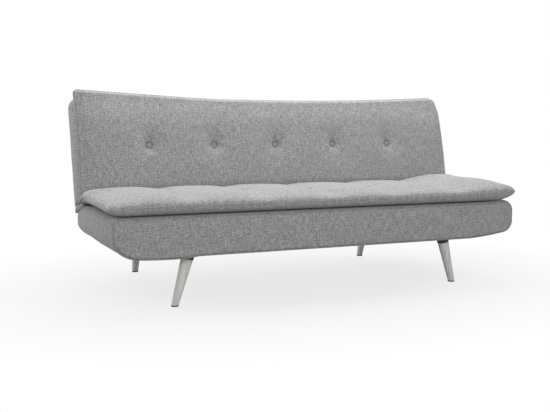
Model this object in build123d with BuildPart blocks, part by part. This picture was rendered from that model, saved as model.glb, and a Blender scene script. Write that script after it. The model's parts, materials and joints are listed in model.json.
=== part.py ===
"""Three-seat click-clack sofa bed, in millimetres.

X runs along the width, Y from front to back and Z up, with the origin on the floor below the centre.
Left and right are as seen by someone who faces the sofa. The seat stands on four splayed legs. The
backrest turns about one axis near the rear of the seat until it lies level with it as a bed.
"""

from build123d import *
import os
from math import cos, radians, sin, sqrt, tan

os.makedirs("parts", exist_ok=True)

# Overall size
overall_width = 1820
overall_depth = 860
overall_height = 815

# Seat base: a long upholstered block whose underside rises at both ends
pad_overhang = 25
base_bottom = 197
base_height = 155
end_length = 145
end_rise = 26
knee_radius = 600
low_corner_radius = 55
top_corner_radius = 35
heel_radius = 30
rear_corner_radius = 25
front_foam_thickness = 40

# Hinge axis and the lean of the backrest from the vertical
pivot_from_rear = 214
pivot_height = 284
lean = 14.5
hinge_gap = 22

# Fold flap: the padded strip that closes the crease over the rounded rear of the base
flap_thickness = 30
flap_front = 122
flap_wrap = 50
flap_end_inset = 12

# Backrest block
back_front_offset = 100
back_top_drop = 6
back_top_radius = 32
back_low_radius = 25
back_front_foam = 58
back_rear_foam = 20
back_top_foam = 20

# Seat pad
crease_offset = 111
seat_pad_thickness = 84
seat_seam_height = 37
pad_corner = 40
pad_side_pull = 14
pad_end_pull = 12
crown_inset = 100

# Back pad
back_pad_thickness = 52
back_seam_height = 14
back_pad_lift = 8
back_side_pull = 24

# Covered buttons and their tufts
button_pitch = 295
button_radius = 13
button_height = 9
button_round = 6
tuft_radius = 75
seat_tuft_depth = 20
back_tuft_depth = 18
seat_tuft_setback = 265
back_tuft_drop = 234

# Timber frames
rail_thickness = 30
rail_rise = 15
front_rail_width = 70
rail_setback = 20
joist_width = 40
back_post_spacing = 600
strap_thickness = 2
strap_width = 50
strap_count = 8
strap_margin = 60
dust_cover_thickness = 2

# Legs, their brackets and the glides under the feet
leg_top_radius = 23.5
foot_radius = 13.5
leg_tail = 8
front_tilt = 15.6
rear_tilt = 15
front_foot_inset = 278
front_foot_setback = 103
rear_foot_inset = 315
boss_radius = 25
boss_height = 18
flange_size = 62
flange_corner = 8
flange_thickness = 3
screw_inset = 8
glide_height = 5
glide_lip = 1

# Steel outriggers that carry the rear legs and the lowered backrest
outrigger_width = 64
outrigger_height = 25
outrigger_wall = 2
outrigger_reach = 330
cap_thickness = 3
cap_plug = 8
bumper_radius = 22
bumper_setback = 100
bumper_height = 4.5

# Hinge: a plate on the seat, an arm on the backrest, a pin, and a pawl that rides the arm's cam
plate_thickness = 4
plate_length = 150
plate_drop = 64
plate_rise = 14
plate_nose = 24
arm_thickness = 5
arm_width = 30
arm_length = 200
pin_radius = 6
pin_head_radius = 10
pin_head = 4
cam_radius = 20
cam_offset = 3.5
pawl_lever = 40
pawl_tip_radius = 5
pawl_boss_radius = 9
pawl_neck = 7
pawl_pin_radius = 4
pawl_pin_head_radius = 7

# Bolts and screws
bolt_radius = 4
bolt_head_radius = 7
bolt_head = 5
bolt_length = 30
leg_bolt_depth = 40
screw_radius = 2.5
screw_head_radius = 4.5
screw_head = 2.5
screw_length = 14
plate_bolt_inset = 25
plate_bolt_spacing = 50
plate_bolt_side = 18
arm_bolt_start = 100
arm_bolt_spacing = 40

# Clearances
running_fit = 0.05
side_gap = 1
soft_gap = 0.5
cam_gap = 0.5
rest_gap = 0.5
bore_end = 1

# Places worked out from the sizes above
half_width = overall_width / 2
front_y = -overall_depth / 2
rear_y = overall_depth / 2
base_half = half_width - pad_overhang
base_front = front_y + pad_overhang
base_top = base_bottom + base_height
frame_front = base_front + front_foam_thickness
pivot_y = rear_y - pivot_from_rear
base_rear = pivot_y + heel_radius
lean_sin = sin(radians(lean))
lean_cos = cos(radians(lean))
fold = 90 - lean
hinge_x = base_half - end_length
end_x = hinge_x + hinge_gap
back_start = heel_radius + flap_thickness + 2 * soft_gap
back_rear_offset = pivot_height - base_bottom - bumper_height - rest_gap
rail_bottom = base_bottom + dust_cover_thickness
rail_top = pivot_height + rail_rise
rail_height = rail_top - rail_bottom
rail_rear = pivot_y - rail_setback
deck_bottom = rail_top + strap_thickness
side_signs = {"left": -1, "right": 1}
button_places = [step * button_pitch for step in (-2, -1, 0, 1, 2)]

# Backrest frame: X along the width, Y up the backrest from the hinge axis, Z out of its front
back_plane = Plane(origin=(0, pivot_y, pivot_height), x_dir=(1, 0, 0), z_dir=(0, -lean_cos, lean_sin))
# The same axis seen from the side: X out of its rear, Y up the backrest
back_side = Plane(origin=(0, pivot_y, pivot_height), x_dir=(0, lean_cos, -lean_sin), z_dir=(1, 0, 0))
pivot_side = Plane(origin=(0, pivot_y, pivot_height), x_dir=(0, 1, 0), z_dir=(1, 0, 0))

back_seam_offset = back_front_offset + back_seam_height
back_pad_top = (overall_height - pivot_height - back_seam_offset * lean_sin) / lean_cos
back_top = back_pad_top - back_top_drop
back_pad_low = back_start + back_pad_lift
back_frame_depth = back_rear_offset - back_rear_foam + back_front_offset - back_front_foam - strap_thickness
back_frame_start = back_rear_foam - back_rear_offset


def write(piece, label):
    """Name a finished piece and write it to its own file."""
    piece.part.label = label
    export_step(piece.part, f"parts/{label}.step")


def on_side(plane, sign, inner, thickness):
    """Plane from which a slab of this thickness grows along +X, on one side of the centre."""
    return plane.offset(inner if sign > 0 else -inner - thickness)


def bar(plane, low, high, start, depth):
    """Straight bar: a rectangle between two corners of a plane, carried along its normal."""
    with BuildPart() as straight:
        with BuildSketch(plane.offset(start)):
            with Locations(((low[0] + high[0]) / 2, (low[1] + high[1]) / 2)):
                Rectangle(high[0] - low[0], high[1] - low[1])
        extrude(amount=depth)
    return straight


def fasteners(label, seats, radius, length, head_radius, head):
    """Round-headed bolts. Each seat is a plane, the way its heads face along it, and their places."""
    with BuildPart() as group:
        for plane, facing, places in seats:
            with BuildSketch(plane):
                with Locations(*places):
                    Circle(radius)
            extrude(amount=-facing * length)
            with BuildSketch(plane):
                with Locations(*places):
                    Circle(head_radius)
            extrude(amount=facing * head)
    write(group, label)


def base_outline():
    """Front view of the seat base: a flat underside that rises to rounded ends."""
    end_low = base_bottom + end_rise
    corners = [(-hinge_x, base_bottom), (hinge_x, base_bottom), (base_half, end_low),
               (base_half, base_top), (-base_half, base_top), (-base_half, end_low)]
    radii = [knee_radius, knee_radius, low_corner_radius, top_corner_radius,
             top_corner_radius, low_corner_radius]
    with BuildSketch() as outline:
        with BuildLine():
            FilletPolyline(*corners, radius=radii, close=True)
        make_face()
    return outline.sketch


def base_section():
    """Side view of the seat base: level top, then a slope and a heel rounded about the hinge axis."""
    tangent = (pivot_y + heel_radius * lean_sin, pivot_height + heel_radius * lean_cos)
    slope_top = tangent[0] - (base_top - tangent[1]) / tan(radians(lean))
    with BuildSketch() as section:
        with BuildLine():
            Polyline(tangent, (slope_top, base_top), (base_front, base_top), (base_front, base_bottom))
            FilletPolyline((base_front, base_bottom), (base_rear, base_bottom), (base_rear, pivot_height),
                           radius=rear_corner_radius)
            CenterArc((pivot_y, pivot_height), heel_radius, 0, fold)
        make_face()
    return section.sketch


def back_outline():
    """Front view of the backrest block, with its upper corners rounder than the lower ones."""
    corners = [(-base_half, back_start), (base_half, back_start), (base_half, back_top), (-base_half, back_top)]
    radii = [back_low_radius, back_low_radius, back_top_radius, back_top_radius]
    with BuildSketch() as outline:
        with BuildLine():
            FilletPolyline(*corners, radius=radii, close=True)
        make_face()
    return outline.sketch


def pad_plan(low, high, inset, side_pull):
    """Plan of a stuffed pad: sides drawn in between rounded corners."""
    x = half_width - inset
    low_edge = low + inset
    high_edge = high - inset
    middle = (low + high) / 2
    slack = pad_corner * (1 - cos(radians(45)))
    with BuildSketch() as plan:
        with BuildLine():
            ThreePointArc((pad_corner - x, low_edge), (0, low_edge + side_pull), (x - pad_corner, low_edge))
            ThreePointArc((x - pad_corner, low_edge), (x - slack, low_edge + slack), (x, low_edge + pad_corner))
            ThreePointArc((x, low_edge + pad_corner), (x - pad_end_pull, middle), (x, high_edge - pad_corner))
            ThreePointArc((x, high_edge - pad_corner), (x - slack, high_edge - slack), (x - pad_corner, high_edge))
            ThreePointArc((x - pad_corner, high_edge), (0, high_edge - side_pull), (pad_corner - x, high_edge))
            ThreePointArc((pad_corner - x, high_edge), (slack - x, high_edge - slack), (-x, high_edge - pad_corner))
            ThreePointArc((-x, high_edge - pad_corner), (pad_end_pull - x, middle), (-x, low_edge + pad_corner))
            ThreePointArc((-x, low_edge + pad_corner), (slack - x, low_edge + slack), (pad_corner - x, low_edge))
        make_face()
    return plan.sketch


def pad_profile(seam, thickness):
    """Heights through a pad, each with how far its plan is drawn in there: widest at the seam."""
    return [(0, pad_overhang), (seam, 0), ((seam + thickness) / 2, pad_overhang), (thickness, crown_inset)]


# Front foam of the seat base
with BuildPart() as seat_front_foam:
    with BuildSketch(Plane.XZ.offset(-base_front)):
        add(base_outline())
    extrude(amount=-front_foam_thickness)
write(seat_front_foam, "seat_front_foam")

# End foams of the seat base
for side, sign in side_signs.items():
    with BuildPart() as seat_end_foam:
        with BuildSketch(Plane.XZ.offset(-frame_front)):
            add(base_outline())
            with Locations((sign * (end_x + base_half) / 2, (base_bottom + base_top) / 2)):
                Rectangle(base_half - end_x, base_height, mode=Mode.INTERSECT)
        extrude(amount=frame_front - base_rear)
        with BuildSketch(Plane.YZ):
            add(base_section())
        extrude(amount=base_half, both=True, mode=Mode.INTERSECT)
    write(seat_end_foam, f"seat_{side}_end_foam")

# Deck foam over the webbing and rear foam behind the rear rail
foam_zones = {"seat_deck_foam": ((frame_front, deck_bottom), (rail_rear, base_top)),
              "seat_rear_foam": ((rail_rear, base_bottom), (base_rear, base_top))}
for label, (low, high) in foam_zones.items():
    with BuildPart() as seat_foam:
        with BuildSketch(Plane.YZ):
            add(base_section())
            with Locations(((low[0] + high[0]) / 2, (low[1] + high[1]) / 2)):
                Rectangle(high[0] - low[0], high[1] - low[1], mode=Mode.INTERSECT)
        extrude(amount=hinge_x - soft_gap, both=True)
    write(seat_foam, label)

# Places of the legs: foot, direction up the leg, and the height of the face that carries it
outrigger_bottom = base_bottom - outrigger_height
glide_radius = foot_radius + glide_lip
rear_foot_x = half_width - rear_foot_inset
rear_foot_y = rear_y - glide_radius
leg_places = {}
for side, sign in side_signs.items():
    foot = (sign * (half_width - front_foot_inset), front_y + front_foot_setback, glide_height)
    direction = (-sign * sin(radians(front_tilt)), 0, cos(radians(front_tilt)))
    leg_places[f"front_{side}"] = (foot, direction, base_bottom)
    foot = (sign * rear_foot_x, rear_foot_y, glide_height)
    direction = (0, -sin(radians(rear_tilt)), cos(radians(rear_tilt)))
    leg_places[f"rear_{side}"] = (foot, direction, outrigger_bottom)


def leg_top(foot, direction, mount):
    """Point where the leg's axis meets the face that carries it."""
    share = (mount - foot[2]) / direction[2]
    return foot[0] + share * direction[0], foot[1] + share * direction[1]


def leg_length(foot, direction, mount):
    """Length of the leg's axis from the glide to the bracket's boss."""
    return (mount - boss_height - foot[2]) / direction[2]


screw_offset = flange_size / 2 - screw_inset
screw_square = [(-screw_offset, -screw_offset), (-screw_offset, screw_offset),
                (screw_offset, -screw_offset), (screw_offset, screw_offset)]
screw_places = {}
for name, place in leg_places.items():
    centre = leg_top(*place)
    screw_places[name] = [(centre[0] + x, centre[1] + y) for x, y in screw_square]
front_screws = screw_places["front_left"] + screw_places["front_right"]
bolt_y_places = [pivot_y - outrigger_reach + plate_bolt_inset, rail_rear - rail_thickness / 2]
outrigger_bolts = {side: [(sign * rear_foot_x, y) for y in bolt_y_places] for side, sign in side_signs.items()}

# Legs and their brackets
for name, (foot, direction, mount) in leg_places.items():
    foot_plane = Plane(origin=foot, z_dir=direction)
    seat_plane = foot_plane.offset(leg_length(foot, direction, mount))
    with BuildPart() as leg:
        with BuildSketch(foot_plane.offset(-leg_tail)):
            Circle(foot_radius)
        with BuildSketch(seat_plane):
            Circle(leg_top_radius)
        loft()
        split(bisect_by=Plane.XY.offset(glide_height), keep=Keep.TOP)
        with BuildSketch(seat_plane):
            Circle(bolt_radius + running_fit)
        extrude(amount=-leg_bolt_depth - bore_end, mode=Mode.SUBTRACT)
    write(leg, f"{name}_leg")

    with BuildPart() as bracket:
        with BuildSketch(seat_plane):
            Circle(boss_radius)
        extrude(amount=2 * boss_height)
        split(bisect_by=Plane.XY.offset(mount), keep=Keep.BOTTOM)
        with BuildSketch(Plane.XY.offset(mount)):
            with Locations(leg_top(foot, direction, mount)):
                RectangleRounded(flange_size, flange_size, flange_corner)
        extrude(amount=-flange_thickness)
        with BuildSketch(seat_plane):
            Circle(bolt_radius + running_fit)
        extrude(amount=2 * boss_height, mode=Mode.SUBTRACT)
        with BuildSketch(Plane.XY.offset(mount)):
            with Locations(*screw_places[name]):
                Circle(screw_radius + running_fit)
        extrude(amount=-flange_thickness, mode=Mode.SUBTRACT)
    write(bracket, f"{name}_leg_bracket")

# Bolts that run up each leg into its bracket
with BuildPart() as leg_bolts:
    for foot, direction, mount in leg_places.values():
        start = leg_length(foot, direction, mount) - leg_bolt_depth
        with BuildSketch(Plane(origin=foot, z_dir=direction).offset(start)):
            Circle(bolt_radius)
        extrude(amount=leg_bolt_depth + boss_height - bolt_radius)
write(leg_bolts, "leg_bolts")

# Glides under the feet
with BuildPart() as foot_glides:
    with BuildSketch():
        with Locations(*[foot[:2] for foot, direction, mount in leg_places.values()]):
            Circle(glide_radius)
    extrude(amount=glide_height)
write(foot_glides, "foot_glides")

# Screws that hold the brackets to the front rail and to the outriggers
front_seat = Plane.XY.offset(base_bottom - flange_thickness)
rear_seat = Plane.XY.offset(outrigger_bottom - flange_thickness)
rear_screws = screw_places["rear_left"] + screw_places["rear_right"]
fasteners("bracket_screws", [(front_seat, -1, front_screws), (rear_seat, -1, rear_screws)],
          screw_radius, screw_length, screw_head_radius, screw_head)

# Outriggers: steel tubes below the joists, with plugs in their ends
outrigger_front = pivot_y - outrigger_reach
outrigger_rear = leg_top(*leg_places["rear_left"])[1] + flange_size / 2 + cap_plug
tube_inner = (outrigger_width - 2 * outrigger_wall, outrigger_height - 2 * outrigger_wall)
for side, sign in side_signs.items():
    with BuildPart() as outrigger:
        with BuildSketch(Plane.XZ.offset(-outrigger_front)):
            with Locations((sign * rear_foot_x, base_bottom - outrigger_height / 2)):
                Rectangle(outrigger_width, outrigger_height)
                Rectangle(*tube_inner, mode=Mode.SUBTRACT)
        extrude(amount=outrigger_front - outrigger_rear)
        with BuildSketch(Plane.XY.offset(outrigger_bottom)):
            with Locations(*screw_places[f"rear_{side}"]):
                Circle(screw_radius + running_fit)
        extrude(amount=outrigger_wall, mode=Mode.SUBTRACT)
        with BuildSketch(Plane.XY.offset(outrigger_bottom)):
            with Locations(*outrigger_bolts[side]):
                Circle(bolt_radius + running_fit)
        extrude(amount=outrigger_height, mode=Mode.SUBTRACT)
    write(outrigger, f"{side}_outrigger")

with BuildPart() as outrigger_caps:
    for sign in side_signs.values():
        for end_y, outward in ((outrigger_front, 1), (outrigger_rear, -1)):
            with BuildSketch(Plane.XZ.offset(-end_y)):
                with Locations((sign * rear_foot_x, base_bottom - outrigger_height / 2)):
                    Rectangle(outrigger_width, outrigger_height)
            extrude(amount=outward * cap_thickness)
            with BuildSketch(Plane.XZ.offset(-end_y)):
                with Locations((sign * rear_foot_x, base_bottom - outrigger_height / 2)):
                    Rectangle(tube_inner[0] - 2 * running_fit, tube_inner[1] - 2 * running_fit)
            extrude(amount=-outward * cap_plug)
write(outrigger_caps, "outrigger_caps")

bolt_seat = Plane.XY.offset(outrigger_bottom)
fasteners("outrigger_bolts", [(bolt_seat, -1, outrigger_bolts["left"] + outrigger_bolts["right"])],
          bolt_radius, outrigger_height + bolt_length, bolt_head_radius, bolt_head)

# Bumpers on the outriggers, just below the lowered backrest
with BuildPart() as rest_bumpers:
    with BuildSketch(Plane.XY.offset(base_bottom)):
        with Locations(*[(sign * rear_foot_x, rear_y - bumper_setback) for sign in side_signs.values()]):
            Circle(bumper_radius)
    extrude(amount=bumper_height)
write(rest_bumpers, "rest_bumpers")

# Dust cover below the frame, cut for the screws and bolts that pass it
with BuildPart() as dust_cover:
    with BuildSketch(Plane.XY.offset(base_bottom)):
        with Locations((0, (frame_front + rail_rear) / 2)):
            Rectangle(2 * hinge_x, rail_rear - frame_front)
        with Locations(*front_screws):
            Circle(screw_radius + running_fit, mode=Mode.SUBTRACT)
        with Locations(*outrigger_bolts["left"], *outrigger_bolts["right"]):
            Circle(bolt_radius + running_fit, mode=Mode.SUBTRACT)
    extrude(amount=dust_cover_thickness)
write(dust_cover, "dust_cover")

# Timber frame of the seat
front_rail_rear = frame_front + front_rail_width
with BuildPart() as seat_front_rail:
    add(bar(Plane.XY, (-hinge_x, frame_front), (hinge_x, front_rail_rear), rail_bottom, rail_height).part)
    with BuildSketch(Plane.XY.offset(rail_bottom)):
        with Locations(*front_screws):
            Circle(screw_radius + running_fit)
    extrude(amount=screw_length, mode=Mode.SUBTRACT)
write(seat_front_rail, "seat_front_rail")

side_rail_inner = hinge_x - rail_thickness
with BuildPart() as seat_rear_rail:
    add(bar(Plane.XY, (-side_rail_inner, rail_rear - rail_thickness), (side_rail_inner, rail_rear),
            rail_bottom, rail_height).part)
    with BuildSketch(Plane.XY.offset(rail_bottom)):
        with Locations(*[place for places in outrigger_bolts.values() for place in places[1:]]):
            Circle(bolt_radius + running_fit)
    extrude(amount=bolt_length + bore_end, mode=Mode.SUBTRACT)
write(seat_rear_rail, "seat_rear_rail")

plate_bolts = [(-plate_length + plate_bolt_inset + step * plate_bolt_spacing, height)
               for step in (0, 1) for height in (-plate_drop + plate_bolt_side, plate_rise - plate_bolt_side)]
for side, sign in side_signs.items():
    with BuildPart() as seat_side_rail:
        with BuildSketch(on_side(Plane.YZ, sign, side_rail_inner, rail_thickness)):
            with Locations(((front_rail_rear + rail_rear) / 2, (rail_bottom + rail_top) / 2)):
                Rectangle(rail_rear - front_rail_rear, rail_height)
        extrude(amount=rail_thickness)
        with BuildSketch(on_side(pivot_side, sign, side_rail_inner, rail_thickness)):
            with Locations(*plate_bolts):
                Circle(bolt_radius + running_fit)
        extrude(amount=rail_thickness, mode=Mode.SUBTRACT)
    write(seat_side_rail, f"seat_{side}_rail")

joist_places = {"left": -rear_foot_x, "middle": 0, "right": rear_foot_x}
for side, x in joist_places.items():
    with BuildPart() as joist:
        add(bar(Plane.XY, (x - joist_width / 2, front_rail_rear),
                (x + joist_width / 2, rail_rear - rail_thickness), rail_bottom, rail_height).part)
        with BuildSketch(Plane.XY.offset(rail_bottom)):
            with Locations((x, bolt_y_places[0])):
                Circle(bolt_radius + running_fit)
        extrude(amount=bolt_length + bore_end, mode=Mode.SUBTRACT)
    write(joist, f"seat_{side}_joist")

# Elastic webbing across the seat frame
strap_pitch = 2 * (hinge_x - strap_margin) / (strap_count - 1)
with BuildPart() as seat_webbing:
    with BuildSketch(Plane.XY.offset(rail_top)):
        with Locations((0, (frame_front + rail_rear) / 2)):
            with GridLocations(strap_pitch, 1, strap_count, 1):
                Rectangle(strap_width, rail_rear - frame_front)
    extrude(amount=strap_thickness)
write(seat_webbing, "seat_webbing")

# Seat pad: crowned, with its sides drawn in and five sewn tufts
seat_pad_plane = Plane.XY.offset(base_top)
seat_pad_rear = pivot_y - crease_offset
seat_tuft_y = front_y + seat_tuft_setback
with BuildPart() as seat_pad:
    for height, inset in pad_profile(seat_seam_height, seat_pad_thickness):
        with BuildSketch(seat_pad_plane.offset(height)):
            add(pad_plan(front_y, seat_pad_rear, inset, pad_side_pull))
    loft()
    with Locations(seat_pad_plane.offset(seat_pad_thickness - seat_tuft_depth + tuft_radius)):
        with Locations(*[(x, seat_tuft_y) for x in button_places]):
            Sphere(tuft_radius, mode=Mode.SUBTRACT)
write(seat_pad, "seat_pad")

# A button sits on the slope of its tuft, so its underside lies above the tuft's deepest point
button_seat = tuft_radius - sqrt(tuft_radius ** 2 - button_radius ** 2) + running_fit


def covered_buttons(plane, row, label):
    """One row of covered buttons on a plane."""
    with BuildPart() as buttons:
        with BuildSketch(plane):
            with Locations(*[(x, row) for x in button_places]):
                Circle(button_radius)
        extrude(amount=button_height)
        fillet(buttons.faces().filter_by(plane).group_by(Axis(plane.origin, plane.z_dir))[-1].edges(), button_round)
    write(buttons, label)


covered_buttons(seat_pad_plane.offset(seat_pad_thickness - seat_tuft_depth + button_seat), seat_tuft_y,
                "seat_buttons")

# Fold flap in three lengths, with a gap at each hinge
flap_inner = heel_radius + soft_gap
flap_outer = back_start - soft_gap
flap_spans = [(soft_gap - hinge_x, hinge_x - soft_gap)]
for sign in side_signs.values():
    flap_spans.append(tuple(sorted((sign * end_x, sign * (base_half - flap_end_inset)))))
with BuildPart() as fold_flap:
    for low, high in flap_spans:
        with BuildSketch(back_side.offset(low)):
            with BuildLine():
                inner_arc = CenterArc((0, 0), flap_inner, 90, -flap_wrap)
                outer_arc = CenterArc((0, 0), flap_outer, 90, -flap_wrap)
                Line(inner_arc @ 1, outer_arc @ 1)
                Polyline(inner_arc @ 0, (-flap_front, flap_inner), (-flap_front, flap_outer), outer_arc @ 0)
            make_face()
        extrude(amount=high - low)
write(fold_flap, "fold_flap")

# Hinge plates on the seat, with their bolts, pivot pins, pawls and pawl pins
cam_angle = radians(fold / 2 - 90)
cam_rest = (cam_offset * cos(cam_angle), cam_offset * sin(cam_angle))
tip_reach = cam_radius + pawl_tip_radius + cam_gap
tip_y = cam_rest[0] - sqrt(tip_reach ** 2 - cam_rest[1] ** 2)
pawl_pivot = (tip_y, -pawl_lever)
arm_inner = hinge_x + plate_thickness + side_gap
pin_seat = arm_inner + arm_thickness + soft_gap
for side, sign in side_signs.items():
    with BuildPart() as hinge_plate:
        with BuildSketch(on_side(pivot_side, sign, hinge_x, plate_thickness)):
            with Locations((-plate_length / 2, (plate_rise - plate_drop) / 2)):
                Rectangle(plate_length, plate_rise + plate_drop)
            Circle(plate_nose)
            Circle(pin_radius + running_fit, mode=Mode.SUBTRACT)
            with Locations(pawl_pivot):
                Circle(pawl_pin_radius + running_fit, mode=Mode.SUBTRACT)
            with Locations(*plate_bolts):
                Circle(bolt_radius + running_fit, mode=Mode.SUBTRACT)
        extrude(amount=plate_thickness)
    write(hinge_plate, f"{side}_hinge_plate")

    with BuildPart() as pawl:
        with BuildSketch(on_side(pivot_side, sign, arm_inner, arm_thickness)):
            with Locations(pawl_pivot):
                Circle(pawl_boss_radius)
            with Locations((tip_y, -pawl_lever / 2)):
                Rectangle(pawl_neck, pawl_lever)
            with Locations((tip_y, 0)):
                Circle(pawl_tip_radius)
            with Locations(pawl_pivot):
                Circle(pawl_pin_radius + running_fit, mode=Mode.SUBTRACT)
        extrude(amount=arm_thickness)
    write(pawl, f"{side}_pawl")

pin_seats = [(pivot_side.offset(sign * pin_seat), sign) for sign in side_signs.values()]
fasteners("pivot_pins", [(plane, sign, [(0, 0)]) for plane, sign in pin_seats],
          pin_radius, pin_seat - hinge_x, pin_head_radius, pin_head)
fasteners("pawl_pins", [(plane, sign, [pawl_pivot]) for plane, sign in pin_seats],
          pawl_pin_radius, pin_seat - hinge_x, pawl_pin_head_radius, pin_head)
plate_seats = [(pivot_side.offset(sign * (hinge_x + plate_thickness)), sign, plate_bolts)
               for sign in side_signs.values()]
fasteners("hinge_plate_bolts", plate_seats, bolt_radius, bolt_length, bolt_head_radius, bolt_head)

# Hinge arms on the backrest, each with a round cam set off the hinge axis
arm_bolts = [(0, arm_bolt_start + step * arm_bolt_spacing) for step in (0, 1, 2)]
for side, sign in side_signs.items():
    with BuildPart() as hinge_arm:
        with BuildSketch(on_side(back_side, sign, arm_inner, arm_thickness)):
            with Locations((0, arm_length / 2)):
                Rectangle(arm_width, arm_length)
            with Locations((cam_offset * cos(radians(fold / 2)), -cam_offset * sin(radians(fold / 2)))):
                Circle(cam_radius)
            Circle(pin_radius + running_fit, mode=Mode.SUBTRACT)
            with Locations(*arm_bolts):
                Circle(bolt_radius + running_fit, mode=Mode.SUBTRACT)
        extrude(amount=arm_thickness)
    write(hinge_arm, f"{side}_hinge_arm")
arm_seats = [(back_side.offset(sign * (arm_inner + arm_thickness)), sign, arm_bolts)
             for sign in side_signs.values()]
fasteners("hinge_arm_bolts", arm_seats, bolt_radius, bolt_length, bolt_head_radius, bolt_head)

# Foams of the backrest block
with BuildPart() as back_front:
    with BuildSketch(back_plane.offset(back_front_offset)):
        add(back_outline())
    extrude(amount=-back_front_foam)
write(back_front, "back_front_foam")

with BuildPart() as back_rear:
    with BuildSketch(back_plane.offset(-back_rear_offset)):
        add(back_outline())
    extrude(amount=back_rear_foam)
write(back_rear, "back_rear_foam")

back_core_depth = back_frame_depth + strap_thickness
back_middle = (back_start + back_top) / 2
back_height = back_top - back_start
for side, sign in side_signs.items():
    with BuildPart() as back_end_foam:
        with BuildSketch(back_plane.offset(back_frame_start)):
            add(back_outline())
            with Locations((sign * (end_x + base_half) / 2, back_middle)):
                Rectangle(base_half - end_x, back_height, mode=Mode.INTERSECT)
        extrude(amount=back_core_depth)
    write(back_end_foam, f"back_{side}_end_foam")

back_rail_top = back_top - back_top_foam
write(bar(back_plane, (-end_x, back_rail_top), (end_x, back_top), back_frame_start, back_core_depth),
      "back_top_foam")

# Timber frame of the backrest
back_rail_half = arm_inner
back_rail_inner = back_rail_half - rail_thickness
top_rail_low = back_rail_top - rail_thickness
write(bar(back_plane, (-back_rail_half, top_rail_low), (back_rail_half, back_rail_top), back_frame_start,
          back_frame_depth), "back_top_rail")
bottom_rail_high = back_start + rail_thickness
write(bar(back_plane, (-back_rail_inner, back_start), (back_rail_inner, bottom_rail_high), back_frame_start,
          back_frame_depth), "back_bottom_rail")
for side, sign in side_signs.items():
    post_x = sign * back_post_spacing / 2
    write(bar(back_plane, (post_x - rail_thickness / 2, bottom_rail_high),
              (post_x + rail_thickness / 2, top_rail_low), back_frame_start, back_frame_depth),
          f"back_{side}_post")
    with BuildPart() as back_side_rail:
        low, high = sorted((sign * back_rail_inner, sign * back_rail_half))
        add(bar(back_plane, (low, back_start), (high, top_rail_low), back_frame_start, back_frame_depth).part)
        with BuildSketch(on_side(back_side, sign, back_rail_inner, rail_thickness)):
            with Locations(*arm_bolts):
                Circle(bolt_radius + running_fit)
        extrude(amount=rail_thickness, mode=Mode.SUBTRACT)
    write(back_side_rail, f"back_{side}_rail")

# Elastic webbing up the backrest frame
with BuildPart() as back_webbing:
    with BuildSketch(back_plane.offset(back_frame_start + back_frame_depth)):
        with Locations((0, (back_start + back_rail_top) / 2)):
            with GridLocations(strap_pitch, 1, strap_count, 1):
                Rectangle(strap_width, back_rail_top - back_start)
    extrude(amount=strap_thickness)
write(back_webbing, "back_webbing")

# Back pad: crowned, with its sides drawn in and five sewn tufts
back_pad_plane = back_plane.offset(back_front_offset)
back_tuft_row = back_pad_top - back_tuft_drop
with BuildPart() as back_pad:
    for height, inset in pad_profile(back_seam_height, back_pad_thickness):
        with BuildSketch(back_pad_plane.offset(height)):
            add(pad_plan(back_pad_low, back_pad_top, inset, back_side_pull))
    loft()
    with Locations(back_pad_plane.offset(back_pad_thickness - back_tuft_depth + tuft_radius)):
        with Locations(*[(x, back_tuft_row) for x in button_places]):
            Sphere(tuft_radius, mode=Mode.SUBTRACT)
write(back_pad, "back_pad")

covered_buttons(back_pad_plane.offset(back_pad_thickness - back_tuft_depth + button_seat), back_tuft_row,
                "back_buttons")
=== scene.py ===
# %% [markdown]
# # A click-clack sofa bed
#
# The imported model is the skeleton: frames, hinges, legs and plain solids for the soft parts. This lesson
# dresses it. The upholstered blocks, the two pillow-top pads, the crease between them and the covered
# buttons are new surfaces, and everything that is already right, such as the legs, only gets a finish.
#
# All lengths are in metres. X runs along the sofa, Y goes from front to back and Z is up.

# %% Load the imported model
import json
import math

import bmesh
import bpy
import numpy as np
from mathutils import Matrix, Vector


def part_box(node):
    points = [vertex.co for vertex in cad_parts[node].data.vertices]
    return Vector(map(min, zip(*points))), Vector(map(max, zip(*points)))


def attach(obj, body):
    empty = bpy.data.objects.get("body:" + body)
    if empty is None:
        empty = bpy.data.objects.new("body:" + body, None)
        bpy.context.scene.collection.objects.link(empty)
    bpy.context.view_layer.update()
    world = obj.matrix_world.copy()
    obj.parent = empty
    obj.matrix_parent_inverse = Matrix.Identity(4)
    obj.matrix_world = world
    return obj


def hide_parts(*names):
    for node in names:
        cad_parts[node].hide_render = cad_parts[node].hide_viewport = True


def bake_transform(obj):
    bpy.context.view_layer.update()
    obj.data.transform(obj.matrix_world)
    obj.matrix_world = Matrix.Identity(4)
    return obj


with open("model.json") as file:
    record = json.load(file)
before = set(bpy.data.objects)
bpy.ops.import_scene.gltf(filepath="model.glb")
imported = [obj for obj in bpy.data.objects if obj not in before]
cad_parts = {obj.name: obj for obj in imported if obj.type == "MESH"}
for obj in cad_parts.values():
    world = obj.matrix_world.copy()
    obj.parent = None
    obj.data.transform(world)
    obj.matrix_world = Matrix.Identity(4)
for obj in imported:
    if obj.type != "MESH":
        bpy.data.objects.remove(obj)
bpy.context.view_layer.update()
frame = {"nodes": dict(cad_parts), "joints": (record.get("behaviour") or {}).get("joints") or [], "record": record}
scene = bpy.context.scene

# %% [markdown]
# ## Where things are
#
# Every size that the skeleton knows is read from it, so that the cover stays on the frame if a size
# changes. The backrest has a frame of its own: up its slope from the hinge axis, and out of its front.

# %% Read the hinge and the main boxes
fold_joint = next(joint for joint in frame["joints"] if joint["name"] == "back_fold")
hinge = np.array(fold_joint["pos_m"], float)
lean = math.radians(90.0 - fold_joint["range_deg"][1])
sideways, rearwards, upwards = np.eye(3)
up_back = np.array([0.0, math.sin(lean), math.cos(lean)])
out_back = np.array([0.0, -math.cos(lean), math.sin(lean)])


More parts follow.
